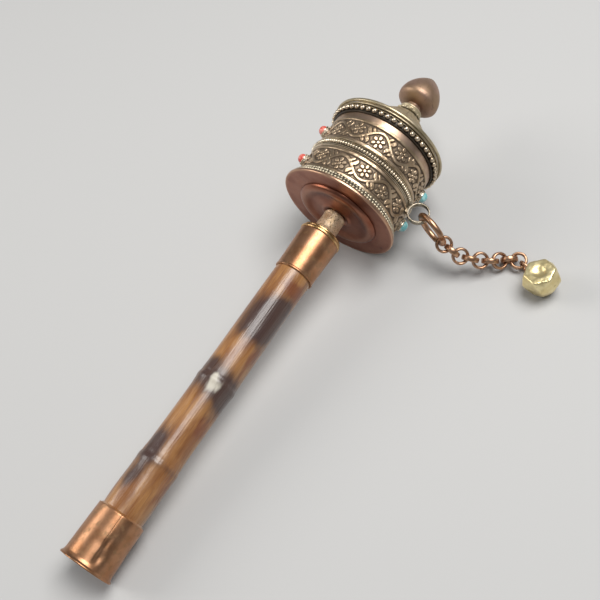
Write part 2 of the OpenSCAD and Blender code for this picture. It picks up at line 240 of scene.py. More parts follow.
def ring_wire(mean_r, wire_r, sides, turns, seed, cut=None, flat=0.0):
    """A ring of wire in the xy plane. cut is (angle, width) of a gap with two flat ends."""
    rough = 0.012
    draw = random.Random(seed)
    phase = [draw.uniform(0, TAU) for _ in range(3)]
    a0, a1 = 0.0, TAU
    if cut:
        half = math.asin(cut[1] / 2 / mean_r)
        a0, a1 = cut[0] + half, cut[0] + TAU - half
    a = np.linspace(a0, a1, turns, endpoint=bool(cut))
    thin = 1 - rough * (1 + np.cos(3 * a + phase[0])) - rough * (1 + np.cos(5 * a + phase[1]))
    swing = rough * wire_r * np.cos(2 * a + phase[2])
    b = np.linspace(0, TAU, sides, endpoint=False)
    angle, round_ = np.meshgrid(a, b, indexing="ij")
    w = wire_r * thin[:, None]
    r = mean_r + swing[:, None] + w * np.cos(round_)
    z = w * np.sin(round_) + flat * np.tanh(3 * np.sin(round_))
    verts = np.stack([r * np.cos(angle), r * np.sin(angle), z], -1).reshape(-1, 3)
    faces = grid_faces(len(a), sides, not cut)
    if cut:
        faces += [list(range(sides))[::-1], [(len(a) - 1) * sides + i for i in range(sides)]]
    return verts, faces, {}


def ripples(seed, s, angle, turns=(1, 6), along=(0.05, 0.5), count=8):
    """Smooth unevenness that closes round the axis, about -1 to 1."""
    draw = random.Random(seed)
    total = 0
    for _ in range(count):
        k = draw.uniform(*along) * draw.choice((-1, 1))
        size = draw.uniform(0.4, 1)
        wave = draw.randint(*turns) * angle + k * s + draw.uniform(0, TAU)
        total = total + size * np.cos(wave)
    return total / math.sqrt(count)


def step(x, low, high):
    """Goes smoothly from 0 at low to 1 at high."""
    t = np.clip((x - low) / (high - low), 0, 1)
    return t * t * (3 - 2 * t)


def turned_away(angle, centre_deg):
    """Angle from a direction, in degrees, -180 to 180."""
    return (np.degrees(angle) - centre_deg + 180) % 360 - 180


def spot(s, angle, centre_s, centre_deg, half_s, half_deg):
    """A soft patch on the side of a turned piece."""
    return np.exp(-(((s - centre_s) / half_s) ** 2) - (turned_away(angle, centre_deg) / half_deg) ** 2)


def toned(shade_tone):
    """A shape function that keeps the shape and gives it one tone of relief, which sets how much painted shade it
    gets.
    """

    def shape(r, s, angle):
        return r, s, {"relief": shade_tone + 0 * r}

    return shape


# ---------- Pieces ----------

MATERIALS = {}


def piece(name, shape, body, slot, place=WHEEL, look=None, sharp=40, own_frame=False):
    """Puts a mesh into the scene as the piece that stands for a CAD node.

    The shape is in millimetres in the frame of place. Its vertices go into the CAD frame, unless its
    texture has to follow its own frame.
    """
    verts, faces, paint = shape
    if not own_frame:
        turn = np.array(place)
        verts = verts @ turn[:3, :3].T + turn[:3, 3] / MM
    mesh = bpy.data.meshes.new(name)
    mesh.from_pydata((verts * MM).tolist(), [], faces)
    for key, values in paint.items():
        layer = mesh.attributes.new(key, "FLOAT", "POINT")
        layer.data.foreach_set("value", np.ascontiguousarray(values, float))
    work = bmesh.new()
    work.from_mesh(mesh)
    bmesh.ops.remove_doubles(work, verts=work.verts, dist=1e-7)
    bmesh.ops.recalc_face_normals(work, faces=work.faces)
    work.to_mesh(mesh)
    work.free()
    mesh.shade_smooth()
    mesh.set_sharp_from_angle(angle=math.radians(sharp))
    mesh.materials.append(MATERIALS[look or slot])
    obj = bpy.data.objects.new(name, mesh)
    bpy.context.scene.collection.objects.link(obj)
    if own_frame:
        obj.matrix_world = place
    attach(obj, body)
    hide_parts(name.removesuffix("_look"))


# ---------- Materials ----------


class Shade:
    """A procedural material: a small helper round its node tree."""

    def __init__(self, name, roughness=0.35, metallic=1.0, **sockets):
        self.material = bpy.data.materials.new(name)
        self.material.use_nodes = True
        self.tree = self.material.node_tree
        self.tree.nodes.clear()
        self.bsdf = self.node("ShaderNodeBsdfPrincipled")
        out = self.node("ShaderNodeOutputMaterial")
        self.tree.links.new(self.bsdf.outputs[0], out.inputs[0])
        self.put("Roughness", roughness)
        self.put("Metallic", metallic)
        for key, value in sockets.items():
            self.put(key.replace("_", " "), value)
        place = self.node("ShaderNodeTexCoord")
        scaled = self.node("ShaderNodeVectorMath", operation="SCALE")
        self.tree.links.new(place.outputs["Object"], scaled.inputs[0])
        scaled.inputs["Scale"].default_value = 1 / MM
        self.mm = scaled.outputs[0]
        self.height = None
        MATERIALS[name] = self.material

    def node(self, kind, **props):
        made = self.tree.nodes.new(kind)
        for key, value in props.items():
            setattr(made, key, value)
        return made

    def into(self, socket, value):
        if isinstance(value, bpy.types.NodeSocket):
            self.tree.links.new(value, socket)
        elif isinstance(value, tuple):
            is_colour = len(value) == 3 and len(socket.default_value) == 4
            socket.default_value = (*value, 1.0) if is_colour else value
        else:
            socket.default_value = value

    def put(self, name, value):
        self.into(self.bsdf.inputs[name], value)

    def math(self, operation, a, b=0.0):
        made = self.node("ShaderNodeMath", operation=operation)
        self.into(made.inputs[0], a)
        self.into(made.inputs[1], b)
        return made.outputs[0]

    def ramp(self, value, low, high, to_low=0.0, to_high=1.0):
        made = self.node("ShaderNodeMapRange", interpolation_type="SMOOTHSTEP")
        for socket, number in zip(made.inputs, (value, low, high, to_low, to_high)):
            self.into(socket, number)
        return made.outputs[0]

    def mix(self, factor, a, b):
        made = self.node("ShaderNodeMix", data_type="RGBA")
        self.into(made.inputs[0], factor)
        self.into(made.inputs[6], a)
        self.into(made.inputs[7], b)
        return made.outputs[2]

    def noise(self, scale, stretch=(1, 1, 1), detail=3.0, shift=0.0, distortion=0.0):
        moved = self.node("ShaderNodeMapping")
        self.into(moved.inputs["Vector"], self.mm)
        moved.inputs["Scale"].default_value = stretch
        moved.inputs["Location"].default_value = (shift, shift * 0.7, shift * 1.3)
        made = self.node("ShaderNodeTexNoise")
        self.into(made.inputs["Vector"], moved.outputs[0])
        made.inputs["Scale"].default_value = scale
        made.inputs["Detail"].default_value = detail
        made.inputs["Distortion"].default_value = distortion
        return made.outputs["Fac"]

    def painted(self, name):
        return self.node("ShaderNodeAttribute", attribute_name=name).outputs["Fac"]

    def bump(self, height, depth):
        """Adds unevenness of that depth in millimetres."""
        made = self.node("ShaderNodeBump")
        made.inputs["Distance"].default_value = depth * MM
        self.into(made.inputs["Height"], height)
        if self.height:
            self.into(made.inputs["Normal"], self.height)
        self.height = made.outputs[0]
        self.put("Normal", self.height)


def metal(name, clean, tint, dirt_shade_colour, roughness, grime, size, pits, shade_range=None, sheen_and_bare=None, metallic=1.0):
    """Aged metal: a clean colour that wanders to a tint, with dull dirt in patches, and painted shade
    in the hollows in the same dark colour.

    Roughness is its range, grime the range of noise over which dirt sets in, size the scale of the
    patches and pits the depth of the finest unevenness. Shade range is the range of the relief tone
    over which a hollow's painted shade fades out, and sheen_and_bare is a paler colour painted on
    worn places and as sheen on rims and ridges.
    """
    m = Shade(name)
    wander = m.ramp(m.noise(size, detail=4, shift=3), 0.36, 0.66)
    colour = m.mix(wander, clean, tint)
    dirt_and_shade = m.ramp(m.noise(size * 3.1, detail=6, shift=11, distortion=0.4), *grime)
    if shade_range:
        # Painted shade: where the relief tone is low (hollows, grooves, channels, the beads' inner sides) the
        # colour goes dark
        shaded_hollow = m.math("SUBTRACT", 1.0, m.ramp(m.painted("relief"), *shade_range))
        dirt_and_shade = m.math("MAXIMUM", m.math("MULTIPLY", dirt_and_shade, 0.6), shaded_hollow)
    # Dirt in noise patches and painted shade in the hollows, both in one dark colour
    colour = m.mix(dirt_and_shade, colour, dirt_shade_colour)
    if sheen_and_bare:
        colour = m.mix(m.painted("wear"), colour, sheen_and_bare)
    m.put("Base Color", colour)
    m.put("Metallic", m.ramp(dirt_and_shade, 0, 1, metallic, metallic * 0.45))
    fine = m.noise(size * 12, detail=3, shift=5)
    rough = m.ramp(m.math("ADD", fine, m.math("MULTIPLY", dirt_and_shade, 0.5)), 0.35, 0.95, *roughness)
    m.put("Roughness", rough)
    m.bump(m.noise(size * 16, detail=4, shift=8), pits)


def bamboo_look():
    """Lacquered cane: fibres along it, and the painted red, burnt and worn patches."""
    m = Shade("bamboo", metallic=0.0, Coat_Weight=0.45, Coat_Roughness=0.26)
    fibre = m.noise(2.2, stretch=(1, 1, 0.045), detail=5, shift=2)
    broad = m.noise(0.30, stretch=(1, 1, 0.22), detail=4, shift=6)
    colour = m.mix(m.ramp(broad, 0.38, 0.64), (0.375, 0.182, 0.062), (0.24, 0.096, 0.029))
    colour = m.mix(m.ramp(fibre, 0.45, 0.75, 0, 0.55), colour, (0.15, 0.055, 0.018))
    ragged = m.noise(0.55, stretch=(1, 1, 0.35), detail=6, shift=9)
    edge = m.math("MULTIPLY", m.math("SUBTRACT", ragged, 0.5), 0.9)
    red = m.ramp(m.math("ADD", m.painted("red"), edge), 0.25, 0.8, 0, 0.85)
    colour = m.mix(red, colour, (0.17, 0.048, 0.017))
    burnt = m.ramp(m.math("ADD", m.painted("burn"), m.math("MULTIPLY", edge, 0.7)), 0.06, 0.90, 0, 0.94)
    colour = m.mix(burnt, colour, (0.050, 0.028, 0.026))
    worn = m.ramp(m.math("ADD", m.painted("worn"), m.math("MULTIPLY", edge, 1.3)), 0.30, 0.95, 0, 0.92)
    colour = m.mix(worn, colour, (0.58, 0.54, 0.45))
    m.put("Base Color", colour)
    lacquer = m.ramp(fibre, 0.3, 0.8, 0.26, 0.42)
    m.put("Roughness", m.math("ADD", lacquer, m.math("MULTIPLY", worn, 0.25)))
    m.bump(m.noise(0.42, stretch=(1, 1, 0.35), detail=3, shift=12), 0.22)
    m.bump(fibre, 0.06)
    m.bump(m.noise(6, stretch=(1, 1, 0.3), detail=2, shift=4), 0.015)


def stone_look(name, body, pale, vein):
    """Polished stone with paler clouds and thin veins."""
    m = Shade(name, roughness=0.22, metallic=0.0, Coat_Weight=0.4, Coat_Roughness=0.1)
    colour = m.mix(m.ramp(m.noise(0.6, detail=4, shift=1), 0.4, 0.62), body, pale)
    lines = m.ramp(m.noise(1.5, detail=5, shift=7, distortion=1.2), 0.60, 0.70, 0, 0.55)
    m.put("Base Color", m.mix(lines, colour, vein))
    m.bump(m.noise(2.5, detail=2, shift=3), 0.03)


def plain_look(name, colour, second, roughness, metallic, scale, stretch=(1, 1, 1)):
    """A grain of two colours, for the inner pieces."""
    m = Shade(name, roughness=roughness, metallic=metallic)
    grain = m.noise(scale, stretch=stretch, detail=4)
    m.put("Base Color", m.mix(m.ramp(grain, 0.4, 0.65), colour, second))
    m.bump(grain, 0.02)


bamboo_look()
metal(
    "copper", (0.47, 0.25, 0.14), (0.36, 0.17, 0.082), (0.20, 0.125, 0.055),
    roughness=(0.34, 0.46), grime=(0.48, 0.84), size=0.13, pits=0.005,
)
metal(
    "red_copper", (0.30, 0.125, 0.078), (0.225, 0.078, 0.045), (0.09, 0.04, 0.028),
    roughness=(0.30, 0.42), grime=(0.60, 0.84), size=0.13, pits=0.006, sheen_and_bare=(0.62, 0.40, 0.27),
)
metal(
    "ring_brass", (0.60, 0.38, 0.18), (0.46, 0.27, 0.11), (0.14, 0.08, 0.03),
    roughness=(0.26, 0.38), grime=(0.60, 0.82), size=0.4, pits=0.006,
)
metal(
    "neck_brass", (0.80, 0.61, 0.42), (0.66, 0.47, 0.28), (0.16, 0.115, 0.065),
    roughness=(0.38, 0.56), grime=(0.56, 0.68), size=0.75, pits=0.05, metallic=0.7,
)
metal(
    "bush_brass", (0.70, 0.52, 0.24), (0.60, 0.44, 0.2), (0.3, 0.2, 0.1),
    roughness=(0.25, 0.35), grime=(0.7, 0.9), size=0.5, pits=0.01,
)
metal(
    "granulation", (0.62, 0.54, 0.40), (0.48, 0.42, 0.30), (0.06, 0.048, 0.034),
    roughness=(0.34, 0.5), grime=(0.6, 0.8), size=0.6, pits=0.015, shade_range=(0.15, 0.8), metallic=0.8,
)
metal(
    "band_brass", (0.57, 0.435, 0.30), (0.455, 0.33, 0.21), (0.09, 0.064, 0.042),
    roughness=(0.32, 0.48), grime=(0.62, 0.86), size=0.22, pits=0.02, shade_range=(0.02, 0.95),
)
metal(
    "seat_brass", (0.54, 0.385, 0.285), (0.43, 0.295, 0.195), (0.18, 0.125, 0.08),
    roughness=(0.32, 0.44), grime=(0.62, 0.86), size=0.2, pits=0.008,
)
metal(
    "white_metal", (0.82, 0.72, 0.57), (0.66, 0.56, 0.42), (0.05, 0.038, 0.026),
    roughness=(0.28, 0.44), grime=(0.66, 0.88), size=0.5, pits=0.008, shade_range=(0.05, 0.75),
)
metal(
    "cap_bronze", (0.27, 0.21, 0.14), (0.20, 0.17, 0.10), (0.05, 0.042, 0.03),
    roughness=(0.32, 0.48), grime=(0.58, 0.8), size=0.32, pits=0.02,
)
metal(
    "cap_petals", (0.60, 0.51, 0.36), (0.47, 0.40, 0.26), (0.075, 0.058, 0.038),
    roughness=(0.36, 0.5), grime=(0.62, 0.84), size=0.4, pits=0.015, shade_range=(0.08, 0.75), metallic=0.6,
)
metal(
    "cap_side", (0.50, 0.415, 0.285), (0.40, 0.325, 0.21), (0.045, 0.034, 0.022),
    roughness=(0.28, 0.42), grime=(0.62, 0.84), size=0.4, pits=0.015, shade_range=(0.15, 0.8), metallic=0.8,
)
metal(
    "cap_bead", (0.74, 0.62, 0.47), (0.58, 0.47, 0.33), (0.045, 0.034, 0.022),
    roughness=(0.28, 0.42), grime=(0.66, 0.86), size=0.5, pits=0.008, shade_range=(0.05, 0.65),
)
metal(
    "rim_brass", (0.54, 0.455, 0.315), (0.43, 0.36, 0.225), (0.12, 0.09, 0.05),
    roughness=(0.30, 0.44), grime=(0.58, 0.8), size=0.4, pits=0.012, metallic=0.8,
)
metal(
    "bud_bronze", (0.42, 0.275, 0.205), (0.34, 0.225, 0.14), (0.13, 0.08, 0.055),
    roughness=(0.48, 0.58), grime=(0.56, 0.82), size=0.14, pits=0.02, metallic=0.85,
)
metal(
    "chain_copper", (0.60, 0.37, 0.235), (0.47, 0.265, 0.155), (0.12, 0.06, 0.038),
    roughness=(0.30, 0.46), grime=(0.52, 0.78), size=0.5, pits=0.012,
)
# The eyelet's colours are darkened overall, as painted shade for the inside of the ring
metal(
    "eyelet_metal", (0.38, 0.33, 0.26), (0.28, 0.24, 0.175), (0.05, 0.038, 0.028),
    roughness=(0.24, 0.38), grime=(0.54, 0.78), size=0.6, pits=0.012,
)
metal(
    "weight_brass", (0.86, 0.745, 0.43), (0.74, 0.61, 0.31), (0.36, 0.26, 0.10),
    roughness=(0.34, 0.48), grime=(0.60, 0.88), size=0.24, pits=0.012, metallic=0.9,
)
stone_look("coral", (0.62, 0.085, 0.06), (0.76, 0.24, 0.19), (0.42, 0.05, 0.04))
stone_look("turquoise", (0.17, 0.50, 0.52), (0.42, 0.72, 0.72), (0.10, 0.30, 0.32))
plain_look("plug_wood", (0.55, 0.38, 0.21), (0.42, 0.26, 0.13), 0.7, 0.0, 1.2, (1, 1, 0.1))
plain_look("steel", (0.52, 0.52, 0.53), (0.44, 0.44, 0.45), 0.3, 1.0, 2.0)
plain_look("paper", (0.78, 0.70, 0.54), (0.70, 0.60, 0.44), 0.85, 0.0, 0.8)

# Every CAD node gets its material; the inner pieces keep their CAD shapes
SLOTS = {s["node"]: s["material_slot"] for s in frame["record"]["subparts"]}
for node, obj in frame["nodes"].items():
    obj.data.materials.clear()
    obj.data.materials.append(MATERIALS[SLOTS[node]])

# ---------- Handle ----------

# Skin of the cane: radii over this one. Joints: height, and how far the ridge stands out
SKIN_R = 6.0
CANE_JOINTS = ((40.0, 0.12), (74.0, 0.18))
# Heights over which the unevenness sets in above the foot ferrule, and ends below the upper one
SETS_IN, ENDS = (20.6, 22), (121.5, 123)
# Patches on the cane: height, angle in degrees, half height, half angle and strength
BURNT = [
    (104, -150, 7.5, 70, 1.1), (98, -118, 6.5, 44, 1.0), (110, -108, 3.5, 34, 0.7),
    (95, -190, 5, 30, 0.5), (74, -150, 6.2, 90, 0.95), (69, -98, 5, 46, 0.8),
    (80, -196, 3, 30, 0.5), (62, -112, 3, 20, 0.3), (40.5, -190, 10, 30, 0.75),
    (47, -205, 6, 34, 0.6), (31, -196, 4, 18, 0.65), (40.2, -112, 1.8, 60, 0.42),
    (27, 12, 5, 34, 0.6), (55, 44, 9, 26, 0.7), (74, 36, 6, 90, 0.85),
    (92, 62, 9, 34, 0.8), (108, 6, 6, 50, 0.7), (40, 70, 2, 70, 0.7),
    (34, 118, 5, 22, 0.6),
]
REDDISH = [
    (117, -120, 4, 60, 0.9), (58, -112, 6, 34, 0.70), (88, -100, 7, 34, 0.7), (86, -176, 5, 30, 0.35),
    (34, -100, 8, 30, 0.6), (50, -150, 4, 30, 0.35), (82, 90, 10, 40, 0.7), (48, -40, 12, 36, 0.6),
    (100, -30, 9, 30, 0.6),
]
WORN = [(72.4, -156, 3.3, 24, 1.1), (75.6, -168, 1.4, 10, 0.6)]


def grip_shape(r, s, angle):
    """Ridges at the joints, slight bends and fine ribs along the cane, and its painted patches."""
    outside = step(r, SKIN_R, SKIN_R + 0.5)
    for at, tall in CANE_JOINTS:
        ridge = tall * (np.exp(-(((s - at) / 0.9) ** 2)) - np.exp(-(((s - at - 1.7) / 0.7) ** 2)))
        r = r + outside * ridge * (1 + 0.35 * ripples(5, 0 * s, angle, (2, 9)))
    open_part = step(s, *SETS_IN) * (1 - step(s, *ENDS))
    uneven = 0.07 * ripples(2, s, angle, (2, 5), (0.02, 0.12))
    uneven = uneven + 0.018 * ripples(3, s, angle, (30, 75), (0.01, 0.1), 14)
    r = r + outside * open_part * uneven
    paint = {}
    for name, patches in (("burn", BURNT), ("red", REDDISH), ("worn", WORN)):
        paint[name] = np.clip(sum(p[4] * spot(s, angle, *p[:4]) for p in patches), 0, 1)
    return r, s, paint


cane_s, cane_r = outline("bamboo_grip", SKIN_R)
bore_r = span("bamboo_grip")[2]
heights = np.arange(cane_s[0], cane_s[-1], 0.6)
cane = [(r, s) for s, r in zip(heights, np.interp(heights, cane_s, cane_r))]
cane += [(cane_r[-1], cane_s[-1]), (bore_r, cane_s[-1]), (bore_r, cane_s[0])]
piece("bamboo_grip_look", lathe(cane, 240, True, grip_shape), "handle", "bamboo", own_frame=True)

# Foot ferrule: where its lapped seam is, its radius above the flared rim, and its sheet
SEAM_DEG, TUBE_R, SHEET = -152, 9.2, 0.5
s0, s1, _, flange_r = span("foot_ferrule")


def foot_shape(r, s, angle):
    """A lapped seam, two dents beside it, shallow ones on the far side and an uneven rim."""
    away = turned_away(angle, SEAM_DEG)
    lift = 0.15 * step(away, -34, -2) * (away < 0.4) - 0.05 * np.exp(-(((away - 1.2) / 0.9) ** 2))
    body = step(s, 1.4, 3.2)
    dents = -0.50 * spot(s, angle, 5.2, -140, 2.6, 9) - 0.30 * spot(s, angle, 9.5, -143, 3.2, 6)
    dents += 0.12 * spot(s, angle, 6.6, -150, 3.0, 4) - 0.16 * spot(s, angle, 15, 60, 4, 26)
    dents -= 0.12 * spot(s, angle, 12, -70, 5, 22)
    r = r + body * (lift * step(s, 8.5, 12) + dents + 0.03 * ripples(12, s, angle, (2, 5), (0.05, 0.3)))
    rim = (1 - step(s, 0.6, 1.6)) * (r > 9.5)
    s = s + rim * 0.10 * np.clip(ripples(13, 0 * s, angle, (2, 9)), 0, 1)
    return r, s, {}


foot = rounded(
    [(TUBE_R - SHEET, s0), (flange_r - 0.15, s0), (flange_r, 0.2), (flange_r - 0.03, 0.5)]
    + [(TUBE_R + 0.25, 1.1), (TUBE_R, 2.2), (TUBE_R - 0.3, s1), (TUBE_R - 0.3 - SHEET, s1)]
    + [(TUBE_R - SHEET, 1.2)],
    0.2,
)
piece("foot_ferrule_look", lathe(dense(foot, 0.45), 300, True, foot_shape), "handle", "copper")

c0, c1, _, cap_r = span("foot_cap")
disc_line = [(0, c0), (cap_r * 0.55, c0 + 0.05), (cap_r, c0 + 0.12), (cap_r, c1), (0, c1)]
disc = rounded(disc_line, 0.15, 3, False)


def dish_shape(r, s, angle):
    """Shallow dents in the outer face."""
    dents = np.clip(ripples(21, 1.3 * r, angle, (2, 7), (0.3, 1.2)), 0, 2)
    return r, s + 0.05 * dents * (s < c0 + 0.3), {}


piece("foot_cap_look", lathe(dense(disc, 0.6, False), 96, False, dish_shape), "handle", "red_copper")

u0, u1, _, _ = span("upper_ferrule")
LOW_R, HEAD_R = 7.6, 8.1


def upper_shape(r, s, angle):
    """Slightly uneven all over, with a wavy hem and one dent on the far side."""
    soft = 0.03 * ripples(31, s, angle, (2, 5), (0.05, 0.3)) - 0.10 * spot(s, angle, 131, 20, 4, 20)
    hem = 1 - step(s, u0 + 0.6, u0 + 1.1)
    return r + soft, s + hem * 0.09 * ripples(32, 0 * s, angle, (2, 6)), {}


upper = [(LOW_R - SHEET, u0), (LOW_R + 0.16, u0), (LOW_R + 0.2, u0 + 0.35), (LOW_R + 0.12, u0 + 0.7)]
upper += [(LOW_R + 0.02, u0 + 0.85), (HEAD_R, u1), (HEAD_R - SHEET, u1)]
upper_tube = lathe(dense(rounded(upper, 0.12), 0.45), 200, True, upper_shape)
piece("upper_ferrule_look", upper_tube, "handle", "copper")

# How uneven the edge of a plain ring is
WAVE = 0.015


def plain_ring(name, body, slot, radius, seed, look=None, turns=160, notches=0.0):
    """A turned ring with rounded corners, slightly uneven round its edge."""
    low, high, inner, outer = span(name)

    def uneven(r, s, angle):
        rim = step(r, outer - 1.5, outer - 0.4)
        rough = notches * np.abs(ripples(seed + 50, 3 * s, angle, (16, 44), (0.3, 2), 10))
        return r + rim * (WAVE * (ripples(seed, s, angle, (2, 5)) - 2) - rough), s, {}

    shape = rounded([(inner, low), (outer, low), (outer, high), (inner, high)], radius, 5)
    piece(name + "_look", lathe(dense(shape, 0.4), turns, True, uneven), body, slot, look=look)


plain_ring("ferrule_cap_disc", "handle", "ring_brass", 0.62, seed=41)
plain_ring("ferrule_top_disc", "handle", "ring_brass", 0.42, seed=42)
plain_ring("neck_base_washer", "handle", "granulation", 0.3, look="neck_brass", seed=43, notches=0.22)

# Neck: a waisted spacer with a rough surface
n0, n1, rod_hole, _ = span("neck_collar")
FOOT_R, HEAD_END_R = 5.0, 4.48
neck = bend(
    [(FOOT_R, n0), (4.85, n0 + 0.7), (4.55, n0 + 1.7), (4.38, n0 + 3.6), (4.32, n1 - 1.4)]
    + [(HEAD_END_R, n1)],
    0.25,
)


def neck_shape(r, s, angle):
    """A coarse and a fine unevenness on the outside."""
    out = step(r, 3, 4)
    rough = 0.06 * ripples(51, s, angle, (3, 9), (0.4, 1.4))
    rough = rough + 0.05 * ripples(52, s, angle, (12, 34), (1.5, 5), 12)
    return r + out * (rough - 0.06), s, {}


neck_bore = dense([(HEAD_END_R, n1), (rod_hole, n1), (rod_hole, n0), (FOOT_R, n0)], 1.2, False)[1:-1]
piece("neck_collar_look", lathe([*neck, *neck_bore], 140, True, neck_shape), "handle", "neck_brass")

# Finial: a turned neck, then a bud with a shallow round underside and a blunt tip
f0, f1, _, bud_r = span("finial")
# Height of the bud's widest place, its rise and drop from there, and the radius of its neck
BUD_S, RISE, DROP, NECK_R = f1 - 12.0, 11.95, 3.05, 2.9
# Room that the bud's dents leave inside the CAD's outline
SLACK = 0.16
neck_line = bend(
    [(3.75, f0), (4.0, f0 + 0.3), (3.75, f0 + 0.62), (3.05, f0 + 0.88), (3.25, f0 + 1.1)]
    + [(3.2, f0 + 1.3), (2.8, f0 + 1.55)],
    0.15,
)
under = [
    (NECK_R - 0.1 + (bud_r - SLACK - NECK_R) * math.sin(t), BUD_S - DROP * math.cos(t))
    for t in np.linspace(0.03, math.pi / 2, 16)
]
over = [
    ((bud_r - SLACK) * (1 - u * u) ** 0.86, BUD_S + RISE * u)
    for u in np.sin(np.linspace(0.03, 1.52, 34))
]


def bud_shape(r, s, angle):
    """Dents of a hammered bud, within the room left for them."""
    bulge = step(s, BUD_S - 2.5, BUD_S) * step(r, 0.5, 4)
    dented = 0.09 * ripples(61, s, angle, (2, 4), (0.1, 0.4))
    dented = dented + 0.03 * ripples(62, s, angle, (5, 12), (0.4, 1.2), 12)
    return r + bulge * np.clip(dented, -1, SLACK - 0.02), s, {}


finial_line = [(0, f0 + 0.05), (1.9, f0 + 0.05), *neck_line, *under, *over, (0, f1 - 0.04)]
bud = lathe(finial_line, 120, False, bud_shape)
piece("finial_look", bud, "handle", "cap_bronze", look="bud_bronze", sharp=60)

# ---------- Drum: plate and boss ----------

p0, p1, hub_r, plate_r = span("bottom_plate")


def plate_shape(r, s, angle):
    """Dents in the underside, and a paler rim: wear and painted sheen."""
    inner = 1 - step(r, plate_r - 2.4, plate_r - 0.9)
    dents = 0.05 * ripples(71, 0.9 * r, angle, (2, 6), (0.1, 0.5))
    dents = dents + 0.02 * ripples(72, 2 * r, angle, (6, 14), (0.4, 1))
    # Painted sheen and wear: the rim turns to the paler colour
    wear = 0.75 * step(r, plate_r - 0.7, plate_r - 0.2)
    return r, s + inner * (s < p0 + 0.2) * np.clip(dents + 0.06, 0, 1), {"wear": wear}


plate_edge = plate_r - 0.01
plate = rounded([(hub_r, p0), (plate_edge, p0), (plate_edge, p1), (hub_r, p1)], 0.62, 6)
piece("bottom_plate_look", lathe(dense(plate, 0.8), 220, True, plate_shape), "drum", "red_copper")

b0, b1, _, boss_r = span("plate_boss")
boss = bend(
    [(hub_r, b0 + 0.42), (4.4, b0 + 0.42), (4.9, b0 + 0.12), (5.7, b0 + 0.14), (6.6, b0 + 0.5)]
    + [(9, b0 + 0.78), (11.0, b0 + 0.74), (12.3, b0 + 0.4), (13.5, b0 + 0.06), (14.7, b0)]
    + [(15.7, b0 + 0.28), (16.3, b0 + 0.8), (boss_r, b1 - 0.1)],
    0.35,
)


def boss_shape(r, s, angle):
    """Dents in the lower face, and its ridge a little paler: painted sheen and wear."""
    # Painted sheen on the ridge, with a little wear
    ridge = np.exp(-(((r - 14.2) / 1.3) ** 2)) * (s < b0 + 1)
    dents = 0.03 * ripples(75, r, angle, (2, 6), (0.1, 0.6)) * (s < b0 + 1)
    return r, s + np.clip(dents, -0.01, 1), {"wear": 0.16 * ridge}


boss_back = dense([(boss_r, b1), (hub_r, b1)], 1.5, False)
piece("plate_boss_look", lathe([*boss, *boss_back], 180, True, boss_shape), "drum", "red_copper")

# ---------- Drum: granulated border, bands and belt ----------

g0, g1, shell_r, border_r = span("bead_border")
# Half size of the larger grains
GRAIN = 0.62
base_line = [(shell_r, g0), (border_r - 0.35, g0), (border_r - 0.55, g0 + 0.9), (border_r - 1.5, g1)]
base = rounded([*base_line, (shell_r, g1)])
# The base under the grains is painted in shade
base_ring = lathe(dense(base, 0.5), 200, True, toned(0.12))
low_grain = (GRAIN, GRAIN, GRAIN)
low_row = bead_row(112, border_r - GRAIN - 0.02, g0 + GRAIN + 0.05, low_grain, 81, 0.10, (9, 6))
high_row = bead_row(108, border_r - 1.35, g1 - 0.72, (0.55, 0.62, 0.6), 82, 0.12, (9, 6), first=0.03)
piece("bead_border_look", joined(base_ring, low_row, high_row), "drum", "granulation", sharp=60)

# The ornament repeats this often round a band
TILES = 7
TILE_MM = TAU * span("lower_band")[3] / TILES
# The vine's swing to each side, half its stem, the plain edge of a band and the relief's depth
SWING, STEM, EDGE, EMBOSSED = 2.85, 0.50, 1.05, 0.55


def stroke(points, widths):
    """A brush stroke: points along a smooth line, each with its half width."""
    line = np.array(bend(points, 0.14))
    t = np.linspace(0, 1, len(line))
    half = np.interp(t, np.linspace(0, 1, len(widths)), widths)
    return np.column_stack([line, half])


def blossom(x, y, radius, petals=6):
    """A round flower: a dot and a ring of petals."""
    dots = [np.array([[x, y, 0.62]])]
    for i in range(petals):
        a = TAU * (i + 0.5) / petals
        reach = np.linspace(0.42, 0.74, 12) * radius
        width = np.interp(np.linspace(0, 1, 12), [0, 0.6, 1], [0.26, 0.62, 0.66])
        dots.append(np.column_stack([x + reach * math.cos(a), y + reach * math.sin(a), width]))
    return np.concatenate(dots)


def vine():
    """One wave of a vine: a flower in each bend, and leaves that fill the corners."""
    wave = np.linspace(-0.5, 0.5, 60, endpoint=False)
    stem = np.column_stack([wave * TILE_MM, SWING * np.cos(TAU * wave), np.full(60, STEM)])
    leaves = [
        stroke([(5.7, -0.9), (4.6, -1.5), (4.1, -2.4), (3.9, -3.4)], [0.2, 0.75, 0.7, 0.08]),
        stroke([(6.6, -1.8), (6.1, -2.6), (5.6, -3.1), (5.4, -3.6)], [0.2, 0.55, 0.5, 0.08]),
    ]
    half = [blossom(0.0, -1.05, 2.75), *leaves, *[leaf * (-1, 1, 1) for leaf in leaves]]
    half += [part * (1, -1, 1) + (TILE_MM / 2, 0, 0) for part in list(half)]
    once = np.concatenate([stem, *half])
    return np.concatenate([once + (shift * TILE_MM, 0, 0) for shift in (-1, 0, 1)])


VINE = vine()


def stroke_depth(x, y, points):
    """How far inside a stroke a point is; negative outside."""
    best = np.full(x.shape, -9.0)
    for px, py, half in points:
        best = np.maximum(best, half - np.hypot(x - px, y - py))
    return best


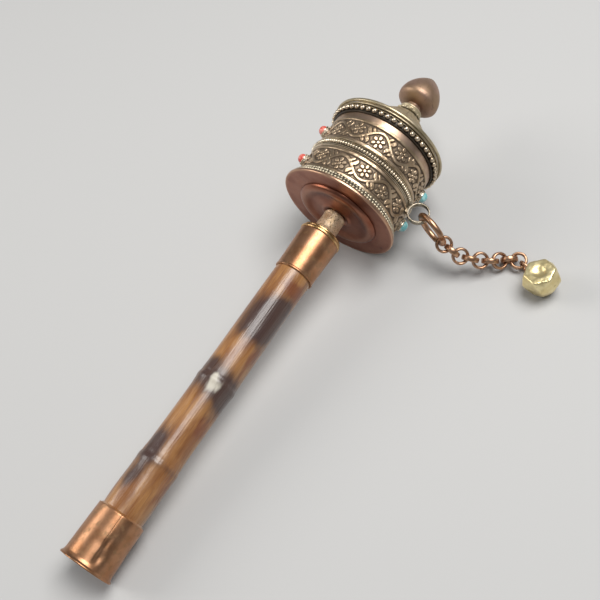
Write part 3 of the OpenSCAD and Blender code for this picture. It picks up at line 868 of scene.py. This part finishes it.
def band(name, seed, first):
    """An embossed sleeve: its outer face is a grid that follows the vine, and its bore is plain."""
    low, high, inner, outer = span(name)
    tall = high - low
    per_tile, rows_n = 150, 72
    x = (np.arange(per_tile) / per_tile - 0.5) * TILE_MM
    y = np.linspace(-tall / 2, tall / 2, rows_n)
    gy, gx = np.meshgrid(y, x, indexing="ij")
    depth = np.maximum(stroke_depth(gx, gy, VINE), np.abs(gy) - (tall / 2 - EDGE))
    relief = np.tile(step(depth, -0.26, 0.10), (1, TILES))
    # Painted shade: dark along the strokes' edges, and half dark on the ground between them
    shade = np.tile(step(depth, -0.22, 0.12) + 0.42 * step(-depth, 0.25, 0.75), (1, TILES))
    turns = relief.shape[1]
    angle = first + np.arange(turns) / turns * TAU
    angle, s = np.meshgrid(angle, y + (low + high) / 2, indexing="xy")
    worn = 0.04 * ripples(seed, s, angle, (2, 7), (0.1, 0.6))
    worn = worn + 0.03 * ripples(seed + 1, s, angle, (20, 60), (1, 4), 12)
    r = outer - 0.10 - EMBOSSED * (1 - relief) + worn * (0.6 + 0.4 * relief)
    r = np.minimum(r, outer)
    r[0] = r[-1] = outer - 0.12
    # The last two rows are the bore
    deep = np.concatenate([shade, np.zeros((2, turns)) + 0.5])
    r = np.concatenate([r, np.full((2, turns), inner)])
    s = np.concatenate([s, np.full((1, turns), high), np.full((1, turns), low)])
    angle = np.concatenate([angle, angle[:2]])
    verts = np.stack([r * np.cos(angle), r * np.sin(angle), s], -1).reshape(-1, 3)
    shape = (verts, grid_faces(len(r), turns, True), {"relief": deep.ravel()})
    piece(name + "_look", shape, "drum", "band_brass", sharp=70)


band("lower_band", 91, 0.0)
band("upper_band", 95, 0.35)


def belt_edge(name):
    """Two fine ridges on a strip, one each side of a groove."""
    low, high, inner, _ = span(name)
    middle = (low + high) / 2
    foot, top, groove = inner + 0.40, inner + 0.92, inner + 0.45
    line = bend(
        [(foot, low), (top, middle - 0.36), (top, middle - 0.26), (groove, middle)]
        + [(top, middle + 0.26), (top, middle + 0.36), (foot, high)],
        0.08,
    )

    def ridges(r, s, angle):
        # Painted shade in the groove and at the foot of the ridges; their tops stay bright
        return r, s, {"relief": np.clip((r - inner - 0.55) / 0.36, 0, 1)}

    shape = lathe([*line, (inner, high), (inner, low)], 220, True, ridges)
    piece(name + "_look", shape, "drum", "white_metal", sharp=70)


belt_edge("lower_belt_wire")
belt_edge("upper_belt_wire")
w0, w1, belt_in, belt_out = span("belt_beads")
strip = rounded([(belt_in, w0), (belt_in + 0.7, w0), (belt_in + 0.7, w1), (belt_in, w1)], 0.1)
# The strip between the beads is painted in full shade
strip_ring = lathe(strip, 200, True, toned(0.0))
belt_row = bead_row(122, belt_out - 0.80, (w0 + w1) / 2, (0.76, 0.52, 0.74), 101, 0.03, (10, 7))
piece("belt_beads_look", joined(strip_ring, belt_row), "drum", "white_metal", sharp=60)

# ---------- Drum: cap ----------

plain_ring("cap_seat_band", "drum", "seat_brass", 0.1, seed=105)

k0, k1, _, skirt_r = span("cap_skirt")
j0, j1, channel_r, bead_out = span("cap_beads")
# Floor of the channel that the beads lie in, and the radius that the overhanging side starts at
FLOOR_R, SIDE_R = channel_r - 0.15, 22
skirt = [(shell_r, k0), (skirt_r - 0.85, k0), (skirt_r - 0.6, k0 + 0.2), (skirt_r - 0.75, k0 + 0.42)]
skirt += [(FLOOR_R, k0 + 0.5), (FLOOR_R, j1 - 0.05), (skirt_r - 0.35, j1 + 0.05)]
skirt += [(skirt_r - 0.1, j1 + 0.25), (skirt_r - 0.35, j1 + 0.45), (skirt_r - 0.8, j1 + 0.6)]
skirt += [(skirt_r - 0.8, j1 + 0.85), (skirt_r - 0.1, j1 + 1.0), (skirt_r, j1 + 1.2), (skirt_r, k1)]
skirt += [(shell_r, k1)]


def skirt_shape(r, s, angle):
    """A slightly uneven side, with painted shade in its channel and grooves; only its ridges are left bright."""
    uneven = 0.03 * (1 - ripples(111, s, angle, (2, 7)) / 3) * (r > SIDE_R)
    return r - uneven, s, {"relief": step(r, skirt_r - 0.75, skirt_r - 0.1)}


skirt_ring = lathe(dense(rounded(skirt, 0.12), 0.4), 220, True, skirt_shape)
piece("cap_skirt_look", skirt_ring, "drum", "cap_bronze", look="cap_side")
cap_row = bead_row(52, bead_out - 0.98, (j0 + j1) / 2, (0.93, 1.04, 0.97), 112, 0.03, (14, 9))
# The seat behind the beads is painted in full shade, as a dark channel
seat = [(channel_r - 0.1, j0 + 0.2), (channel_r + 0.15, j0 + 0.2)]
seat += [(channel_r + 0.15, j1 - 0.2), (channel_r - 0.1, j1 - 0.2)]
seat_ring = lathe(rounded(seat, 0.05), 160, True, toned(0.0))
piece("cap_beads_look", joined(seat_ring, cap_row), "drum", "rim_brass", look="cap_bead", sharp=60)
plain_ring("cap_rim_wire", "drum", "rim_brass", 0.55, seed=115, turns=220)

# Lid: petals in two tiers, each with its outer and inner radius and its shift by part of a petal
throat_r, edge_r = span("cap_cone")[2:]
PETALS = 22
TIERS = ((edge_r - 0.4, 12.8, 0.0), (13.6, 6.6, 0.5))
LID_THICK, PETAL_TALL = 0.72, 0.5

lid_points = local_points("cap_cone")
lid_radius = np.hypot(lid_points[:, 0], lid_points[:, 1]).round(2)
LID_R = np.unique(lid_radius)
LID_S = np.array([lid_points[lid_radius == v, 2].max() for v in LID_R])


def lid_top(r):
    """Height of the lid's upper face at a radius, from the CAD's outline."""
    return np.interp(r, LID_R, LID_S)


def petal_relief(r, angle):
    """Two tiers of petals with a rib each, as a height from 0 to 1."""
    total = np.zeros_like(r)
    for outer, inner, shift in TIERS:
        u = (angle / TAU * PETALS + shift) % 1 - 0.5
        t = np.clip((outer - r) / (outer - inner), 0, 1)
        width = 0.46 * np.sqrt(np.clip(1 - (1 - np.clip(t * 3.2, 0, 1)) ** 2, 0, 1))
        inside = step(width - np.abs(u), -0.03, 0.05) * (r < outer) * (r > inner - 0.6)
        rib = 0.45 * np.exp(-((u / 0.05) ** 2)) * (t < 0.85)
        lip = 0.5 * np.exp(-(((width - np.abs(u) - 0.05) / 0.045) ** 2))
        total = np.maximum(total, inside * (0.45 + rib + lip))
    return np.clip(total, 0, 1)


def lid_shape(r, s, angle):
    """Petals that reach the CAD's outline, with the ground between them lower."""
    on_top = s > lid_top(r) - 0.25
    height = petal_relief(r, angle) * on_top
    # Painted shade on the ground between the petals and on the lid's underside
    shade_tone = np.where(on_top, 0.30 + 0.70 * height, 0.3)
    return r, s + on_top * (PETAL_TALL * height - PETAL_TALL), {"relief": shade_tone}


radii = np.arange(edge_r, throat_r + 1.0, -0.22)
upper_face = [(r, lid_top(r)) for r in radii]
lower_face = [(r, lid_top(r) - LID_THICK) for r in np.linspace(throat_r, edge_r, 12)]
lid_line = [*upper_face, (throat_r, lid_top(throat_r)), *lower_face]
lid = lathe(lid_line, PETALS * 24, True, lid_shape)
piece("cap_cone_look", lid, "drum", "cap_bronze", look="cap_petals", sharp=70)

q0, q1, _, collar_out = span("cap_collar")
collar = bend(
    [(5.2, q0), (collar_out, q0 + 0.5), (5.0, q0 + 0.95), (4.45, q0 + 1.3), (4.3, q1 - 0.85)]
    + [(4.65, q1 - 0.45), (4.6, q1)],
    0.15,
)
LOBES = 12


def collar_shape(r, s, angle):
    """Round lobes along the collar's foot."""
    lobe = np.abs(np.sin(LOBES / 2 * angle)) ** 0.5
    low = 1 - step(s, q0 + 0.9, q0 + 1.4)
    # Painted shade between the lobes at the foot
    shade_tone = 0.25 + 0.65 * np.where(low > 0.5, lobe, 0.9)
    return r - low * (r > 4.5) * 0.55 * (1 - lobe), s, {"relief": shade_tone}


collar_ring = lathe([*collar, (throat_r, q1), (throat_r, q0)], 168, True, collar_shape)
piece("cap_collar_look", collar_ring, "drum", "rim_brass", look="cap_petals")

# ---------- Drum: stones ----------

BAND_R = span("upper_band")[3]
# Heights over the band: the stone's underside, where its dome starts, and the cup's base
UNDER, DOME_FROM, CUP_BASE = 0.32, 1.0, -0.25


def stone(node, kind, stone_r, seed):
    """A worn dome."""
    quarter = np.linspace(0, math.pi / 2, 14)
    dome = [(stone_r * math.sin(a) ** 0.92, DOME_FROM + stone_r * 0.95 * math.cos(a)) for a in quarter]

    def worn(r, s, angle):
        return r * (1 + 0.02 * ripples(seed, s, angle, (2, 4)) - 0.02), s, {}

    shape = lathe([*dome, (stone_r * 0.97, UNDER), (0, UNDER)], 40, False, worn)
    piece(node + "_look", shape, "drum", kind, drum_side(node, BAND_R), sharp=50)


def stone_cup(node, stone_r, seed):
    """A cup with a rope round its foot, its wall painted in shade below a lip that is left bright."""
    rim = stone_r + 0.45
    cup = [(0, CUP_BASE), (rim, CUP_BASE), (rim, 0.15), (rim - 0.12, 0.45), (rim - 0.05, 0.85)]
    cup += [(rim - 0.12, 1.08), (stone_r + 0.02, DOME_FROM), (stone_r + 0.02, 0.30), (0, 0.30)]

    def lip(r, s, angle):
        # Painted shade on the cup's wall below the lip
        return r, s, {"relief": 0.35 + 0.4 * (s > 0.7)}

    wall = lathe(rounded(cup, 0.06, 3, False), 48, False, lip)
    rope = bead_row(20, rim - 0.14, 0.33, (0.20, 0.26, 0.22), seed, 0.03, (8, 5))
    place = drum_side(node, BAND_R)
    piece(node + "_cup_look", joined(wall, rope), "drum", "white_metal", place, sharp=55)


for where in ("upper", "lower"):
    for kind, stone_r, seed in (("coral", 1.95, 3), ("turquoise", 2.25, 5)):
        stone(f"{where}_{kind}", kind, stone_r, seed)
        stone_cup(f"{where}_{kind}", stone_r, seed)

# ---------- Chain ----------

LINKS = 10
# Strip ring on the drum: outer radius, thickness and half width
EYELET_R, STRIP, STRIP_HALF = 4.3, 0.6, 1.0
# Large link: mean radius, wire, and the place and width of its gap
BIG_R, BIG_WIRE, BIG_GAP = 6.45, 2.3, (math.radians(60), 1.6)
# Small links: mean radius, wire, and how far the wire is drawn out sideways into a strip
SMALL_R, SMALL_WIRE, SMALL_FLAT = 2.8, 1.14, 0.48
# The weight's eye: mean radius, wire and stub
EYE_R, EYE_WIRE, STUB = 2.3, 1.2, 2.4


def hinge(k):
    """Point and direction of the hinge that link k swings on; after the last link comes the weight."""
    made = JOINTS["weight_swing" if k > LINKS else f"link_{k}_swing"]
    return Vector(made["pos_m"]), Vector(made["axis"]).normalized()


def middle_of(node):
    """Middle of a CAD node's box."""
    low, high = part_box(node)
    return (low + high) / 2


def link_place(k):
    """Frame of link k, or of the eyelet for 0: x points to the next hinge, the ring is in the xy plane."""
    far, across = hinge(k + 1)
    if k == 0:
        centre = middle_of("chain_eyelet")
        along = (far - centre).normalized()
    elif k == 1:
        along = (far - hinge(1)[0]).normalized()
        centre = far - along * BIG_R * MM
    else:
        centre = middle_of(f"link_{k}")
        along = (far - centre).normalized()
    across = (across - along * across.dot(along)).normalized()
    return placed(centre, along, across)


strip_line = rounded(
    [(EYELET_R - STRIP, -STRIP_HALF), (EYELET_R, -STRIP_HALF)]
    + [(EYELET_R, STRIP_HALF), (EYELET_R - STRIP, STRIP_HALF)],
    0.14,
)
piece("chain_eyelet_look", lathe(dense(strip_line, 0.3), 90), "drum", "eyelet_metal", link_place(0))
big = ring_wire(BIG_R, BIG_WIRE / 2, 20, 90, 7, cut=BIG_GAP)
piece("link_1_look", big, "link_1", "chain_copper", link_place(1))
for k in range(2, LINKS + 1):
    small = ring_wire(SMALL_R, SMALL_WIRE / 2, 16, 52, 10 + k, flat=SMALL_FLAT)
    piece(f"link_{k}_look", small, f"link_{k}", "chain_copper", link_place(k))

# The weight's eye: its stub ends at the vertices farthest from the hinge
eye_hinge = hinge(LINKS + 1)[0]
eye_points = cad_points("weight_eye")
away = np.linalg.norm(eye_points - np.array(eye_hinge), axis=1)
stub_end = Vector(eye_points[away > away.max() - 0.05 * MM].mean(0))
eye_along = (stub_end - eye_hinge).normalized()
spread = eye_points - eye_points.mean(0)
eye_side = Vector(np.linalg.eigh(spread.T @ spread)[1][:, 0])
eye_side = (eye_side - eye_along * eye_along.dot(eye_side)).normalized()
eye_place = placed(stub_end - eye_along * (EYE_R + STUB) * MM, eye_along, eye_side.cross(eye_along))
stub_r = EYE_WIRE / 2
ring_part = ring_wire(EYE_R, stub_r, 14, 48, 31)
stub_v, stub_f, _ = lathe([(0, 0), (stub_r, 0), (stub_r, STUB), (0, STUB)], 14, False)
stub_v = np.stack([EYE_R + stub_v[:, 2], stub_v[:, 0], stub_v[:, 1]], -1)
eye_shape = joined(ring_part, (stub_v, stub_f, {}))
piece("weight_eye_look", eye_shape, "weight", "chain_copper", eye_place)

# Cast weight: size of the cells that round its edges off, how often they are smoothed, and how far
# its skin is drawn in and dented
CELL, ROUNDS, DRAWN_IN, DENTED = 0.22, 60, 0.14, 0.16


def nugget():
    """The cast weight: the CAD's lump with its edges softened as a casting's are."""
    source = frame["nodes"]["chain_weight"]
    mesh = source.data.copy()
    mesh.name = "chain_weight_look"
    mesh.attributes.new("relief", "FLOAT", "POINT")
    obj = bpy.data.objects.new("chain_weight_look", mesh)
    bpy.context.scene.collection.objects.link(obj)
    fine = obj.modifiers.new("fine", "REMESH")
    fine.mode = "VOXEL"
    fine.voxel_size = CELL * MM
    soft = obj.modifiers.new("soft", "SMOOTH")
    soft.factor = 0.5
    soft.iterations = ROUNDS
    bpy.context.view_layer.update()
    shaped = bpy.data.meshes.new_from_object(obj.evaluated_get(bpy.context.evaluated_depsgraph_get()))
    for vertex in shaped.vertices:
        uneven = noise.noise(vertex.co / (3.2 * MM)) + 0.5 * noise.noise(vertex.co / (1.3 * MM))
        vertex.co -= vertex.normal * (DRAWN_IN + DENTED * uneven) * MM
    obj.modifiers.clear()
    obj.data = shaped
    shaped.materials.clear()
    shaped.materials.append(MATERIALS["weight_brass"])
    shaped.shade_smooth()
    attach(obj, "weight")
    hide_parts("chain_weight")


nugget()

# ---------- Floor, lights and camera ----------

FLOOR_HALF = 3.0
floor_mesh = bpy.data.meshes.new("floor")
corners = [(x * FLOOR_HALF, y * FLOOR_HALF, 0) for x, y in ((-1, -1), (1, -1), (1, 1), (-1, 1))]
floor_mesh.from_pydata(corners, [], [(0, 1, 2, 3)])
floor = bpy.data.objects.new("floor", floor_mesh)
bpy.context.scene.collection.objects.link(floor)
pale = bpy.data.materials.new("floor_pale")
pale.use_nodes = True
pale_inputs = pale.node_tree.nodes["Principled BSDF"].inputs
pale_inputs["Base Color"].default_value = (0.52, 0.52, 0.515, 1)
pale_inputs["Roughness"].default_value = 0.9
floor_mesh.materials.append(pale)

world = bpy.data.worlds.new("studio")
world.use_nodes = True
sky = world.node_tree.nodes["Background"].inputs
sky["Color"].default_value = (0.88, 0.92, 0.98, 1)
sky["Strength"].default_value = 0.20
bpy.context.scene.world = world

AIM_AT = Vector((0, 0, 0.02))


def panel(name, direction, distance, size, power, colour):
    """A soft square lamp that faces the wheel."""
    lamp = bpy.data.lights.new(name, "AREA")
    lamp.shape = "SQUARE"
    lamp.size = size
    lamp.energy = power
    lamp.color = colour
    obj = bpy.data.objects.new(name, lamp)
    aim = Vector(direction).normalized()
    obj.location = AIM_AT + aim * distance
    obj.rotation_euler = aim.to_track_quat("Z", "Y").to_euler()
    bpy.context.scene.collection.objects.link(obj)


panel("window", (0.25, -0.20, 0.94), 0.9, 0.56, 9.0, (1.0, 0.985, 0.965))
panel("side", (-0.35, 0.85, 0.55), 1.0, 0.5, 4.0, (1.0, 0.97, 0.93))
bpy.context.scene.view_settings.view_transform = "Standard"

SENSOR_MM, LENS_MM = 36.0, 55.02
CAMERA_AT = Vector((-0.120563, -0.122174, 0.291583))
HEADING, DOWN, ROLL = math.radians(48.915), math.radians(55.027), math.radians(16.799)
camera_data = bpy.data.cameras.new("camera")
camera_data.sensor_width = SENSOR_MM
camera_data.lens = LENS_MM
camera_data.clip_start = 0.01
camera_data.clip_end = 20
camera = bpy.data.objects.new("camera", camera_data)
level_right = Vector((math.sin(HEADING), -math.cos(HEADING), 0))
forward = Vector(
    (math.cos(DOWN) * math.cos(HEADING), math.cos(DOWN) * math.sin(HEADING), -math.sin(DOWN))
)
level_up = level_right.cross(forward)
right = level_right * math.cos(ROLL) - level_up * math.sin(ROLL)
up = level_right * math.sin(ROLL) + level_up * math.cos(ROLL)
camera.matrix_world = placed(CAMERA_AT, right, up)
bpy.context.scene.collection.objects.link(camera)
bpy.context.scene.camera = camera
